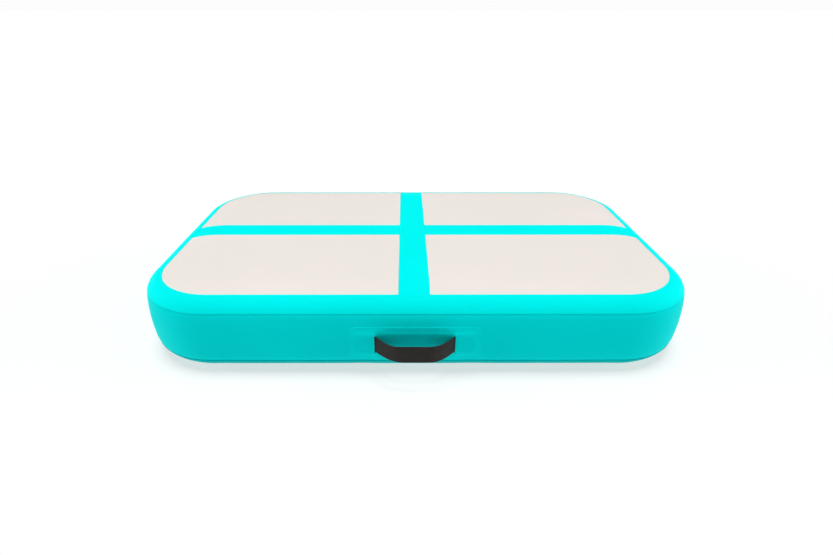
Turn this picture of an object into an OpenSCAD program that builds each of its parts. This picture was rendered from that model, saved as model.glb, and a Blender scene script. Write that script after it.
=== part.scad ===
// Small inflatable air track mat: drop-stitch panel with rolled edges, a two-colour deck, two carry
// handles and a push-pin air valve. Millimetres. +X runs along the mat, +Y to the back, +Z up.
// The origin is the middle of the underside, on the floor.

/* [Mat] */
// Length of the inflated mat, from side to side
mat_length = 1000; // [900:10:1200]
// Depth of the inflated mat, from front to back
mat_depth = 600; // [560:10:800]
// Thickness of the inflated mat
mat_height = 150; // [145:1:160]
// Radius of the corners, seen from above
corner_radius = 145; // [140:5:180]
// Thickness of one layer of coated cloth
sheet = 0.9; // [0.7:0.1:1]
// Spacing of the bundles of drop-stitch yarn
yarn_pitch = 35; // [30:5:60]
// Radius of one bundle of drop-stitch yarn
yarn_radius = 1.2; // [0.8:0.1:2]

/* [Deck] */
// Width of the coloured border, from the outer edge to the deck panels
border = 33; // [28:1:36]
// Width of the two stripes that cross on the deck
stripe_width = 54; // [40:1:60]
// How far the crosswise stripe sits from the middle, along X
stripe_shift = -4; // [-10:1:10]
// Height of the upper seam tape's lower edge above the middle of the wall
tape_reach = 47; // [46:1:52]

/* [Handles] */
// How far the handles sit from the middle, along X
handle_shift = -3; // [-10:1:10]
// Distance between the two slits that the webbing comes out of
handle_span = 137; // [120:1:150]
// How far the loop stands out from the wall
handle_standoff = 33; // [26:1:34]
// Width of the webbing
webbing_width = 32; // [28:1:32]
// Thickness of the webbing
webbing_thickness = 2; // [1.5:0.1:2]
// Height of the middle of the webbing above the floor
handle_height = 66.5; // [64:0.5:68]
// Width of the patch that covers the webbing's ends
patch_width = 228; // [220:1:240]
// Height of the patch that covers the webbing's ends
patch_height = 66; // [62:1:68]

/* [Valve] */
// Radius of the valve's flange
flange_radius = 29; // [29:0.5:31]
// Radius of the seat that the pump's nozzle pushes into
nozzle_radius = 12.5; // [11:0.5:13]
// How far the pin goes in when it is pressed
stem_travel = 5; // [4:0.5:6]
// Radius of the round patch round the valve
valve_patch_radius = 44; // [40:1:45]

/* [Hidden] */
$fn = 96;

// colours
deck_colour = [0.93, 0.9, 0.87];
band_colour = [0.02, 0.95, 0.95];
wall_colour = [0.02, 0.77, 0.77];
cloth_colour = [0.85, 0.88, 0.88];
yarn_colour = [0.95, 0.95, 0.92];
webbing_colour = [0.17, 0.15, 0.16];
thread_colour = [0.02, 0.7, 0.7];
valve_colour = [0.55, 0.57, 0.58];
rubber_colour = [0.12, 0.12, 0.12];
steel_colour = [0.75, 0.76, 0.78];

// Edge profile: three arcs that meet smoothly, each named by the tilt of its surface's normal above
// or below level. The side arc is nearly flat, the corner arc is tight, the crown arc is shallow.
side_radius = 300;
side_tilt = 7;
crown_radius = 220;
crown_tilt = 74;
half_height = mat_height / 2;
bend_radius = (half_height - side_radius * sin(side_tilt) - crown_radius * (1 - sin(crown_tilt)))
    / (sin(crown_tilt) - sin(side_tilt));
side_steps = 2;
bend_steps = 8;
crown_steps = 4;
tilts_up = concat(
    [for (i = [1:side_steps]) side_tilt * i / side_steps],
    [for (i = [1:bend_steps]) side_tilt + (crown_tilt - side_tilt) * i / bend_steps],
    [for (i = [1:crown_steps]) crown_tilt + (90 - crown_tilt) * i / crown_steps]);
tilts = concat([for (i = [len(tilts_up) - 1:-1:0]) -tilts_up[i]], [0], tilts_up);

// how far in from the widest plane each arc begins
bend_inset = side_radius * (1 - cos(side_tilt));
crown_inset = bend_inset + bend_radius * (cos(side_tilt) - cos(crown_tilt));
flat_inset = crown_inset + crown_radius * cos(crown_tilt);

// layers, as offsets from the outer skin: the cloth lies inside it, tapes and patches lie on it
cloth_in = -2 * sheet;
cloth_out = -sheet;
patch_out = sheet;
cover_out = 2 * sheet;
tail_out = sheet + webbing_thickness;

// where the sheets end, as tilts of the surface
tape_overlap = 12;
cloth_joint_inset = 10;
tape_wall_tilt = tilt_at_height(tape_reach);
tape_deck_tilt = tilt_at_inset(border);
sheet_joint_tilt = tilt_at_inset(border - tape_overlap);
cloth_joint_tilt = tilt_at_inset(cloth_joint_inset);

// how far a cut runs past a face, and how far one runs right through the wall
over = 1;
through = 20;

// handles
stamp_depth = 40;
stamp_margin = 10;
webbing_low = handle_height - webbing_width / 2;
loop_rise = 36;
loop_start = 12.5;
path_start = 2.4;
path_steps = 12;
tail_length = 34;
slit_gap = 0.4;
slit_play = 0.02;
patch_corner = 14;
base_inset = 8;
stitch_radius = 0.4;
stitch_pitch = 3;
stitch_share = 0.6;
stitch_height = 0.5;

// valve, measured outwards from the widest plane of the wall
barrel_radius = 20;
barrel_hole = 20.5;
flange_top = 5;
flange_bottom = -4;
lip_bottom = 3.4;
waist_radius = flange_radius - 1;
recess_radius = 16;
seat_top = -1;
seat_bottom = -9;
chamber_radius = 15;
chamber_bottom = -27;
port_radius = 11;
barrel_bottom = -30;
boss_radius = 4.6;
stem_radius = 2;
stem_clearance = 0.05;
head_radius = 5.5;
head_top = -10.5;
head_bottom = -13.5;
spring_shut = 8;
boss_top = head_bottom - stem_travel - spring_shut;
seal_thickness = 2;
poppet_bottom = -38;
gasket_face = -5;
nut_bottom = -13;
nut_radius = 30;
ring_radius = 31.5;
ring_low = 1.6;
cap_radius = 20;
cap_low = 5.2;
cap_top = 7.6;
plug_radius = 15.5;
plug_low = 1.5;
strap_width = 8;
strap_thickness = 1.4;
strap_gap = 0.4;
hinge_reach = 33;
coil_radius = 3.4;
wire_radius = 0.5;

function tilt_at_inset(inset) = inset < crown_inset
    ? acos(cos(side_tilt) - (inset - bend_inset) / bend_radius)
    : acos(cos(crown_tilt) - (inset - crown_inset) / crown_radius);

function tilt_at_height(height) =
    asin(sin(side_tilt) + (height - side_radius * sin(side_tilt)) / bend_radius);

// A point of the edge profile: [distance out from the middle of the corner, height above the middle]
function edge_point(tilt, offset) =
    let (
        size = abs(tilt),
        side = sign(tilt),
        bend_arm = side_radius - bend_radius,
        crown_arm = bend_radius - crown_radius,
        bend_centre = [corner_radius - side_radius + bend_arm * cos(side_tilt),
            side * bend_arm * sin(side_tilt)],
        crown_centre = bend_centre + crown_arm * [cos(crown_tilt), side * sin(crown_tilt)],
        radius = size <= side_tilt ? side_radius : size <= crown_tilt ? bend_radius : crown_radius,
        centre = size <= side_tilt ? [corner_radius - side_radius, 0]
            : size <= crown_tilt ? bend_centre : crown_centre
    )
    centre + (radius + offset) * [cos(tilt), sin(tilt)];

function tilts_between(low, high) =
    concat([low], [for (t = tilts) if (t > low + 0.01 && t < high - 0.01) t], [high]);

function edge_points(low, high, offset) = [for (t = tilts_between(low, high)) edge_point(t, offset)];

function reversed(points) = [for (i = [len(points) - 1:-1:0]) points[i]];

function rounded_outline(width, height, radius) =
    [for (corner = [0:3], step = [0:6])
        let (
            angle = 90 * corner + 15 * step,
            across = corner == 0 || corner == 3 ? 1 : -1,
            up = corner < 2 ? 1 : -1
        )
        [across * (width / 2 - radius), up * (height / 2 - radius)] + radius * [cos(angle), sin(angle)]
    ];

// A closed band of the edge profile, between two tilts and two offsets
module band_outline(low, high, inner, outer) {
    polygon(concat(edge_points(low, high, outer), reversed(edge_points(low, high, inner))));
}

// The edge profile from one tilt up to the crown, carried on flat to the middle of the corner
module cap_outline(low, inner, outer) {
    flat = [[0, half_height + outer], [0, half_height + inner]];
    polygon(concat(edge_points(low, 90, outer), flat, reversed(edge_points(low, 90, inner))));
}

// Sweeps an outline round the mat: four straight sides and four quarter turns
module sweep_round() {
    translate([0, 0, half_height])
        for (side = [0:3]) {
            across = side % 2 == 0 ? mat_length : mat_depth;
            along = side % 2 == 0 ? mat_depth : mat_length;
            rotate([0, 0, 90 * side])
                translate([across / 2 - corner_radius, along / 2 - corner_radius, 0]) {
                    rotate([90, 0, 0]) linear_extrude(along - 2 * corner_radius) children();
                    rotate_extrude(angle = 90) children();
                }
        }
}

module ring(low, high, inner, outer) {
    sweep_round() band_outline(low, high, inner, outer);
}

// A face of the mat: flat in the middle, rolled over at the edges down to a given tilt
module face(low, inner, outer) {
    sweep_round() cap_outline(low, inner, outer);
    translate([corner_radius - mat_length / 2, corner_radius - mat_depth / 2, mat_height + inner])
        cube([mat_length - 2 * corner_radius, mat_depth - 2 * corner_radius, outer - inner]);
}

module lower_face(low, inner, outer) {
    translate([0, 0, mat_height]) mirror([0, 0, 1]) face(low, inner, outer);
}

// A straight length of wall on the +X side, between two offsets
module wall_block(width, distance, inner, outer) {
    translate([distance - corner_radius, width / 2, half_height])
        rotate([90, 0, 0])
            linear_extrude(width)
                band_outline(-crown_tilt, crown_tilt, inner, outer);
}

module valve_wall(width, inner, outer) {
    wall_block(width, mat_length / 2, inner, outer);
}

module handle_wall(inner, outer) {
    rotate([0, 0, -90])
        wall_block(patch_width + 2 * stamp_margin, mat_depth / 2, inner, outer);
}

// Cuts a shape's outline, drawn along X and up Z, out of the wall at the front
module stamped(inner, outer) {
    intersection() {
        handle_wall(inner, outer);
        translate([0, -mat_depth / 2 + stamp_depth / 2, 0])
            rotate([90, 0, 0])
                linear_extrude(stamp_depth)
                    children();
    }
}

module at_handle(rear) {
    rotate([0, 0, rear ? 180 : 0])
        translate([rear ? -handle_shift : handle_shift, 0, 0])
            children();
}

module at_valve() {
    translate([mat_length / 2, 0, half_height]) rotate([0, 90, 0]) children();
}

// ---- the air chamber ----

module top_face_cloth() {
    color(cloth_colour) face(cloth_joint_tilt, cloth_in, cloth_out);
}

module bottom_face_cloth() {
    color(cloth_colour) lower_face(cloth_joint_tilt, cloth_in, cloth_out);
}

function on_flat(x, y) =
    let (
        dx = max(0, abs(x) - (mat_length / 2 - corner_radius)),
        dy = max(0, abs(y) - (mat_depth / 2 - corner_radius))
    )
    norm([dx, dy]) + yarn_radius < corner_radius - flat_inset;

module drop_stitch_yarns() {
    columns = floor((mat_length / 2 - flat_inset) / yarn_pitch);
    rows = floor((mat_depth / 2 - flat_inset) / yarn_pitch);
    color(yarn_colour)
        for (column = [-columns:columns], row = [-rows:rows])
            if (on_flat(column * yarn_pitch, row * yarn_pitch))
                translate([column * yarn_pitch, row * yarn_pitch, -cloth_in])
                    cylinder(r = yarn_radius, h = mat_height + 2 * cloth_in);
}

module sidewall_inner_strip() {
    color(cloth_colour)
        difference() {
            ring(-cloth_joint_tilt, cloth_joint_tilt, cloth_in, cloth_out);
            at_valve() disc(barrel_hole, -through, through);
        }
}

module sidewall_outer_strip() {
    color(wall_colour)
        difference() {
            ring(-sheet_joint_tilt, sheet_joint_tilt, cloth_out, 0);
            at_valve() disc(barrel_hole, -through, through);
        }
}

// The strap over the joint between the ends of the side wall strip, on the rear wall
module sidewall_joint_strap() {
    strap = 40;
    clear_of_tape = 2;
    from_middle = 290;
    color(wall_colour)
        rotate([0, 0, 180])
            translate([-from_middle, 0, 0])
                stamped(0, patch_out)
                    translate([0, half_height])
                        square([strap, 2 * (tape_reach - clear_of_tape)], center = true);
}

module underside_sheet() {
    color(wall_colour) lower_face(sheet_joint_tilt, cloth_out, 0);
}

module upper_seam_tape() {
    color(band_colour) ring(tape_wall_tilt, tape_deck_tilt, 0, patch_out);
}

module lower_seam_tape() {
    color(wall_colour) ring(-tape_deck_tilt, -tape_wall_tilt, 0, patch_out);
}

// ---- the deck's coloured top layer ----

module deck_piece(low_x, high_x, low_y, high_y) {
    intersection() {
        face(sheet_joint_tilt, cloth_out, 0);
        translate([low_x, low_y, half_height])
            cube([high_x - low_x, high_y - low_y, mat_height]);
    }
}

stripe_left = stripe_shift - stripe_width / 2;
stripe_right = stripe_shift + stripe_width / 2;
stripe_half = stripe_width / 2;

module deck_panel_front_left() {
    color(deck_colour) deck_piece(-mat_length, stripe_left, -mat_depth, -stripe_half);
}

module deck_panel_front_right() {
    color(deck_colour) deck_piece(stripe_right, mat_length, -mat_depth, -stripe_half);
}

module deck_panel_rear_left() {
    color(deck_colour) deck_piece(-mat_length, stripe_left, stripe_half, mat_depth);
}

module deck_panel_rear_right() {
    color(deck_colour) deck_piece(stripe_right, mat_length, stripe_half, mat_depth);
}

module crosswise_stripe() {
    color(band_colour) deck_piece(stripe_left, stripe_right, -mat_depth, mat_depth);
}

module lengthwise_stripe_left() {
    color(band_colour) deck_piece(-mat_length, stripe_left, -stripe_half, stripe_half);
}

module lengthwise_stripe_right() {
    color(band_colour) deck_piece(stripe_right, mat_length, -stripe_half, stripe_half);
}

// ---- handles: one strip of webbing each, whose ends lie between two patches ----

module patch_outline(margin) {
    translate([0, handle_height])
        polygon(rounded_outline(patch_width - 2 * margin, patch_height - 2 * margin,
            patch_corner - margin));
}

// Both covered ends of the webbing, each grown by a margin on its closed sides
module tails_outline(margin) {
    for (side = [-1, 1])
        translate([side * (handle_span + tail_length) / 2 + side * margin / 2, handle_height])
            square([tail_length + margin, webbing_width + 2 * margin], center = true);
}

module handle_base_patch(rear) {
    color(wall_colour) at_handle(rear) stamped(0, patch_out) patch_outline(base_inset);
}

// The cover patch lies on the base patch and on the wall round it, and rises over the two tails
module handle_cover_patch(rear) {
    color(wall_colour)
        at_handle(rear) {
            difference() {
                stamped(patch_out, cover_out) patch_outline(0);
                stamped(0, tail_out) tails_outline(slit_gap);
            }
            stamped(0, patch_out)
                difference() {
                    patch_outline(0);
                    patch_outline(base_inset);
                }
            difference() {
                stamped(cover_out, tail_out + sheet) tails_outline(slit_gap + sheet);
                stamped(0, tail_out) tails_outline(slit_gap);
            }
        }
}

// The loop in plan: [along the wall, out from the wall], eased from the slits to a flat middle
path_reach = handle_standoff - webbing_thickness / 2 - path_start;

function loop_out(along) =
    let (share = min(1, (handle_span / 2 - abs(along)) / loop_rise))
    path_start + path_reach * (1 - pow(1 - share, 2));

// Where along the wall the loop is a given distance out
function loop_along(out) =
    handle_span / 2 - loop_rise * (1 - sqrt(1 - (out - path_start) / path_reach));

function loop_normal(along) =
    let (
        small = 0.01,
        rise = (loop_out(along + small) - loop_out(along - small)) / (2 * small)
    )
    [-rise, 1] / norm([-rise, 1]);

function loop_side(from, to, offset) =
    [for (i = [0:path_steps])
        let (along = from + (to - from) * i / path_steps)
        [along, loop_out(along)] + offset * loop_normal(along)
    ];

module webbing_strip(from, to) {
    half = webbing_thickness / 2;
    translate([0, -mat_depth / 2, webbing_low])
        mirror([0, 1, 0])
            linear_extrude(webbing_width)
                polygon(concat(loop_side(from, to, half), reversed(loop_side(from, to, -half))));
}

loop_end = loop_along(loop_start);

module handle_loop(rear) {
    color(webbing_colour) at_handle(rear) webbing_strip(-loop_end, loop_end);
}

// The covered tails, and the short lengths that bend where the loop leaves the slits
module handle_ends(rear) {
    slit = handle_span / 2 - slit_play;
    color(webbing_colour)
        at_handle(rear) {
            stamped(patch_out, tail_out) tails_outline(0);
            webbing_strip(-slit, -loop_end);
            webbing_strip(loop_end, slit);
        }
}

// A rectangle of stitches through each covered tail, standing just proud of the cover patch
module handle_stitching(rear) {
    inset = 4;
    long = tail_length - 2 * inset;
    high = webbing_width - 2 * inset;
    across = floor(long / stitch_pitch);
    up = floor(high / stitch_pitch);
    color(thread_colour)
        at_handle(rear)
            stamped(tail_out + sheet, tail_out + sheet + stitch_height)
                for (side = [-1, 1])
                    translate([side * (handle_span + tail_length) / 2, handle_height]) {
                        for (i = [-across / 2:across / 2], row = [-1, 1])
                            translate([i * stitch_pitch, row * high / 2])
                                square([stitch_pitch * stitch_share, 2 * stitch_radius], center = true);
                        for (i = [-up / 2 + 1:up / 2 - 1], column = [-1, 1])
                            translate([column * long / 2, i * stitch_pitch])
                                square([2 * stitch_radius, stitch_pitch * stitch_share], center = true);
                    }
}

module front_handle_base_patch() { handle_base_patch(false); }
module front_handle_ends() { handle_ends(false); }
module front_handle_loop() { handle_loop(false); }
module front_handle_cover_patch() { handle_cover_patch(false); }
module front_handle_stitching() { handle_stitching(false); }
module rear_handle_base_patch() { handle_base_patch(true); }
module rear_handle_ends() { handle_ends(true); }
module rear_handle_loop() { handle_loop(true); }
module rear_handle_cover_patch() { handle_cover_patch(true); }
module rear_handle_stitching() { handle_stitching(true); }

// ---- valve, drawn about +Z outwards and turned to face +X ----

module disc(radius, low, high) {
    translate([0, 0, low]) cylinder(r = radius, h = high - low);
}

module valve_patch() {
    color(wall_colour)
        difference() {
            intersection() {
                valve_wall(3 * valve_patch_radius, 0, patch_out);
                at_valve() disc(valve_patch_radius, -through, through);
            }
            at_valve() disc(barrel_hole, -through, through);
        }
}

module valve_body() {
    arm = 3;
    rim = 1.2;
    color(valve_colour)
        difference() {
            union() {
                difference() {
                    at_valve()
                        rotate_extrude()
                            polygon([[0, flange_bottom], [waist_radius, flange_bottom],
                                [waist_radius, lip_bottom], [flange_radius, lip_bottom],
                                [flange_radius, flange_top - rim],
                                [flange_radius - rim, flange_top], [0, flange_top]]);
                    valve_wall(3 * flange_radius, -through, patch_out);
                }
                at_valve() disc(barrel_radius, barrel_bottom, flange_top - rim);
            }
            at_valve() {
                disc(recess_radius, seat_top, flange_top + over);
                disc(nozzle_radius, seat_bottom - over, seat_top + over);
                disc(chamber_radius, chamber_bottom, seat_bottom);
                difference() {
                    disc(port_radius, barrel_bottom - over, chamber_bottom + over);
                    for (turn = [0, 120, 240])
                        rotate([0, 0, turn])
                            translate([0, -arm / 2, barrel_bottom])
                                cube([port_radius + over, arm, boss_top - barrel_bottom]);
                    disc(boss_radius, barrel_bottom, boss_top);
                }
                disc(stem_radius + stem_clearance, barrel_bottom - over, boss_top + over);
            }
        }
}

module valve_gasket() {
    color(rubber_colour)
        difference() {
            at_valve() disc(flange_radius, gasket_face, 0);
            valve_wall(3 * flange_radius, cloth_in, through);
            at_valve() disc(barrel_hole, -through, through);
        }
}

module valve_nut() {
    notches = 6;
    notch_radius = 3;
    color(valve_colour)
        at_valve()
            difference() {
                disc(nut_radius, nut_bottom, gasket_face);
                disc(barrel_radius, nut_bottom - over, gasket_face + over);
                for (i = [0:notches - 1])
                    rotate([0, 0, 360 / notches * i])
                        translate([nut_radius, 0, 0])
                            disc(notch_radius, nut_bottom - over, gasket_face + over);
            }
}

module valve_stem() {
    dish_radius = 3.5;
    dish_depth = 0.6;
    color(valve_colour)
        at_valve()
            difference() {
                union() {
                    disc(head_radius, head_bottom, head_top);
                    disc(stem_radius, poppet_bottom, head_bottom);
                }
                disc(dish_radius, head_top - dish_depth, head_top + over);
            }
}

module valve_seal() {
    lap = 2.5;
    color(rubber_colour)
        at_valve()
            difference() {
                disc(port_radius + lap, barrel_bottom - seal_thickness, barrel_bottom);
                disc(stem_radius, barrel_bottom - seal_thickness - over, barrel_bottom + over);
            }
}

module valve_poppet() {
    plate = 2;
    lap = 2;
    hub_radius = 4.5;
    plate_top = barrel_bottom - seal_thickness;
    color(valve_colour)
        at_valve()
            difference() {
                union() {
                    disc(port_radius + lap, plate_top - plate, plate_top);
                    disc(hub_radius, poppet_bottom, plate_top - plate);
                }
                disc(stem_radius, poppet_bottom - over, plate_top + over);
            }
}

// The coil spring under the pin's head, swept as a ring of points along a helix
spring_turns = 5;
spring_steps = 16;
spring_sides = 6;
spring_rings = spring_turns * spring_steps;
spring_low = boss_top + wire_radius;
spring_high = head_bottom - wire_radius;

function spring_point(ring, side) =
    let (
        turn = 360 * ring / spring_steps,
        round = 360 * side / spring_sides,
        out = coil_radius + wire_radius * cos(round)
    )
    [out * cos(turn), out * sin(turn),
        spring_low + (spring_high - spring_low) * ring / spring_rings + wire_radius * sin(round)];

module valve_spring() {
    points = [for (ring = [0:spring_rings], side = [0:spring_sides - 1]) spring_point(ring, side)];
    walls = [for (ring = [0:spring_rings - 1], side = [0:spring_sides - 1])
        let (
            here = ring * spring_sides + side,
            next = ring * spring_sides + (side + 1) % spring_sides
        )
        [here, next, next + spring_sides, here + spring_sides]
    ];
    first = [for (side = [spring_sides - 1:-1:0]) side];
    last = [for (side = [0:spring_sides - 1]) spring_rings * spring_sides + side];
    color(steel_colour) at_valve() polyhedron(points, concat(walls, [first], [last]));
}

module valve_cap_ring() {
    color(valve_colour)
        at_valve()
            difference() {
                disc(ring_radius, ring_low, lip_bottom);
                disc(waist_radius, ring_low - over, lip_bottom + over);
            }
}

// The thin web between the ring and the cap, which bends as the cap swings open
module valve_cap_strap() {
    back = hinge_reach + 3;
    front = hinge_reach - strap_gap;
    root = ring_radius - over;
    top = cap_low + strap_thickness;
    low_top = ring_low + strap_thickness;
    inside = back - strap_thickness;
    color(valve_colour)
        at_valve()
            difference() {
                translate([strap_width / 2, 0, 0])
                    rotate([0, -90, 0])
                        linear_extrude(strap_width)
                            polygon([[ring_low, root], [ring_low, back], [top, back],
                                [top, front], [cap_low, front], [cap_low, inside],
                                [low_top, inside], [low_top, root]]);
                disc(ring_radius, 0, cap_low);
            }
}

module valve_cap() {
    rim = 0.8;
    plug_wall = 3;
    groove_depth = 1;
    groove_low = 2.7;
    groove_high = 4.2;
    grip = [26, 4, 2.5];
    grip_root = 0.01;
    tab_root = 1.5;
    color(valve_colour)
        at_valve() {
            rotate_extrude()
                polygon([[0, cap_low], [plug_radius - plug_wall, cap_low],
                    [plug_radius - plug_wall, plug_low], [plug_radius, plug_low],
                    [plug_radius, groove_low], [plug_radius - groove_depth, groove_low],
                    [plug_radius - groove_depth, groove_high], [plug_radius, groove_high],
                    [plug_radius, cap_low], [cap_radius, cap_low], [cap_radius, cap_top - rim],
                    [cap_radius - rim, cap_top], [0, cap_top]]);
            translate([-grip[0] / 2, -grip[1] / 2, cap_top - grip_root]) cube(grip);
            translate([-strap_width / 2, cap_radius - tab_root, cap_low])
                cube([strap_width, hinge_reach - strap_gap - cap_radius + tab_root,
                    strap_thickness]);
        }
}

module valve_cap_seal() {
    seal_middle = 15.15;
    seal_radius = 0.65;
    seal_height = 3.45;
    color(rubber_colour)
        at_valve()
            rotate_extrude()
                translate([seal_middle, seal_height])
                    circle(r = seal_radius);
}

top_face_cloth();
bottom_face_cloth();
drop_stitch_yarns();
sidewall_inner_strip();
sidewall_outer_strip();
sidewall_joint_strap();
underside_sheet();
upper_seam_tape();
lower_seam_tape();
deck_panel_front_left();
deck_panel_front_right();
deck_panel_rear_left();
deck_panel_rear_right();
crosswise_stripe();
lengthwise_stripe_left();
lengthwise_stripe_right();
front_handle_base_patch();
front_handle_ends();
front_handle_loop();
front_handle_cover_patch();
front_handle_stitching();
rear_handle_base_patch();
rear_handle_ends();
rear_handle_loop();
rear_handle_cover_patch();
rear_handle_stitching();
valve_patch();
valve_body();
valve_gasket();
valve_nut();
valve_stem();
valve_spring();
valve_seal();
valve_poppet();
valve_cap_ring();
valve_cap_strap();
valve_cap();
valve_cap_seal();
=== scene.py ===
import math

import bmesh
import bpy
import numpy as np
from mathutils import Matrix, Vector


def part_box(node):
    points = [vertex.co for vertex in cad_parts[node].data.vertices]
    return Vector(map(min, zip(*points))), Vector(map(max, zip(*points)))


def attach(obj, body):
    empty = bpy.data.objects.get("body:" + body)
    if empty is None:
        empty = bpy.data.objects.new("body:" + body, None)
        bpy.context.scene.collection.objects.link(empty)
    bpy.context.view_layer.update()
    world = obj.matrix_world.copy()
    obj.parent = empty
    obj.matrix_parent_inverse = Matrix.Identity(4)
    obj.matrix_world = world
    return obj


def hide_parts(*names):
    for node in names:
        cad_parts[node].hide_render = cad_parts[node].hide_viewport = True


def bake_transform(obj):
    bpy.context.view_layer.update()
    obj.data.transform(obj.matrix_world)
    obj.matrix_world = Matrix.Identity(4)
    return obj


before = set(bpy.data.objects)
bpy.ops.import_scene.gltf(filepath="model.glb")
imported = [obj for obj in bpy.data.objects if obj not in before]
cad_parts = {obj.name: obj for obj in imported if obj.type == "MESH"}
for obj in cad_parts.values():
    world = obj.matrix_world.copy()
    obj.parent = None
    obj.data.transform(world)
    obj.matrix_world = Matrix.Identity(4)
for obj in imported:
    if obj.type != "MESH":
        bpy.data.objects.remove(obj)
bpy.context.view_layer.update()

# ---- sizes, in metres, from the frame ----
MM = 0.001
HALF_X, HALF_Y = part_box("sidewall_outer_strip")[1].xy
STRIPE_LOW, STRIPE_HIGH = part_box("crosswise_stripe")
STRIPE_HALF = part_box("lengthwise_stripe_left")[1].y
HALF_H = STRIPE_HIGH.z / 2
TAPE_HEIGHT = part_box("upper_seam_tape")[0].z - HALF_H
CORNER = 145 * MM
SHEET = 0.9 * MM
BORDER, TAPE_OVERLAP = 33 * MM, 12 * MM
BARREL_HOLE = 20.5 * MM
# The spacing of the points on the skins and patches, and the rows of them across a rounded edge
STEP, ROW_STEP, PATCH_STEP = 6 * MM, 4.8 * MM, 2.5 * MM
EDGE_ROUND = 0.45 * MM
EDGE_ROWS = np.array([0, 0.12, 0.4, 1.0, 2.4]) * EDGE_ROUND
# Faces that meet at more than this angle are shaded with a crease between them
SHARP_ANGLE = math.radians(50)
# The deck and the underside run a little way in under the seam tapes
DECK_HALF_X, DECK_HALF_Y, DECK_CORNER = (h - BORDER + TAPE_OVERLAP for h in (HALF_X, HALF_Y, CORNER))

# The mat's edge: three arcs that meet smoothly, by the tilt of the surface's normal above level
SIDE_RADIUS, SIDE_TILT = 300 * MM, math.radians(7)
CROWN_RADIUS, CROWN_TILT = 220 * MM, math.radians(74)
BEND_RADIUS = ((HALF_H - SIDE_RADIUS * math.sin(SIDE_TILT) - CROWN_RADIUS * (1 - math.sin(CROWN_TILT)))
               / (math.sin(CROWN_TILT) - math.sin(SIDE_TILT)))
SIDE_ARC = SIDE_RADIUS * SIDE_TILT
BEND_ARC = BEND_RADIUS * (CROWN_TILT - SIDE_TILT)
CROWN_ARC = CROWN_RADIUS * (math.pi / 2 - CROWN_TILT)
ROLL_ARC = SIDE_ARC + BEND_ARC + CROWN_ARC
BEND_INSET = SIDE_RADIUS * (1 - math.cos(SIDE_TILT))
CROWN_INSET = BEND_INSET + BEND_RADIUS * (math.cos(SIDE_TILT) - math.cos(CROWN_TILT))
FLAT_INSET = CROWN_INSET + CROWN_RADIUS * math.cos(CROWN_TILT)

# The mat's outline seen from above, measured from the middle of the front, anticlockwise
FRONT_HALF, SIDE_HALF = HALF_X - CORNER, HALF_Y - CORNER
QUARTER = CORNER * math.pi / 2
RIGHT_MIDDLE = FRONT_HALF + QUARTER + SIDE_HALF
RIGHT_STOP = RIGHT_MIDDLE + SIDE_HALF
REAR_MIDDLE = RIGHT_STOP + QUARTER + FRONT_HALF
PERIMETER = 2 * REAR_MIDDLE


def tilt_at(v):
    """The surface's tilt at a distance v along the edge profile, up from the middle of the wall."""
    a = np.abs(v)
    bend = SIDE_TILT + (a - SIDE_ARC) / BEND_RADIUS
    crown = CROWN_TILT + (a - SIDE_ARC - BEND_ARC) / CROWN_RADIUS
    tilt = np.where(a <= SIDE_ARC, a / SIDE_RADIUS, np.where(a <= SIDE_ARC + BEND_ARC, bend, crown))
    return np.sign(v) * np.minimum(tilt, math.pi / 2)


def profile(v, offset):
    """(distance out from the widest plane, height above the middle, tilt) along the edge profile."""
    tilt = tilt_at(v)
    a, side = np.abs(tilt), np.sign(tilt)
    bend_arm, crown_arm = SIDE_RADIUS - BEND_RADIUS, BEND_RADIUS - CROWN_RADIUS
    bend_x, bend_z = -SIDE_RADIUS + bend_arm * math.cos(SIDE_TILT), bend_arm * math.sin(SIDE_TILT)
    crown_x = bend_x + crown_arm * math.cos(CROWN_TILT)
    crown_z = bend_z + crown_arm * math.sin(CROWN_TILT)
    on_side, on_bend = a <= SIDE_TILT, a <= CROWN_TILT
    x = np.where(on_side, -SIDE_RADIUS, np.where(on_bend, bend_x, crown_x))
    z = np.where(on_side, 0.0, np.where(on_bend, bend_z, crown_z)) * side
    radius = np.where(on_side, SIDE_RADIUS, np.where(on_bend, BEND_RADIUS, CROWN_RADIUS)) + offset
    beyond = np.maximum(np.abs(v) - ROLL_ARC, 0)
    return x + radius * np.cos(tilt) - beyond, z + radius * np.sin(tilt), tilt


def v_at_inset(inset):
    """Where on the upper half of the profile the surface is a distance in from the widest plane."""
    inset = np.asarray(inset, float)
    bend = np.arccos(np.clip(math.cos(SIDE_TILT) - (inset - BEND_INSET) / BEND_RADIUS, -1, 1))
    crown = np.arccos(np.clip(math.cos(CROWN_TILT) - (inset - CROWN_INSET) / CROWN_RADIUS, -1, 1))
    v = np.where(inset < CROWN_INSET, SIDE_ARC + (bend - SIDE_TILT) * BEND_RADIUS,
                 SIDE_ARC + BEND_ARC + (crown - CROWN_TILT) * CROWN_RADIUS)
    return np.where(inset < FLAT_INSET, v, ROLL_ARC + inset - FLAT_INSET)


def v_at_height(height):
    """Where on the profile the surface is a height above the middle, up to the crown arc."""
    side = SIDE_RADIUS * math.asin(min(1.0, abs(height) / SIDE_RADIUS))
    low = math.sin(SIDE_TILT) + (abs(height) - SIDE_RADIUS * math.sin(SIDE_TILT)) / BEND_RADIUS
    bend = SIDE_ARC + (math.asin(min(1.0, max(0.0, low))) - SIDE_TILT) * BEND_RADIUS
    return math.copysign(side if side < SIDE_ARC else bend, height)


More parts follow.
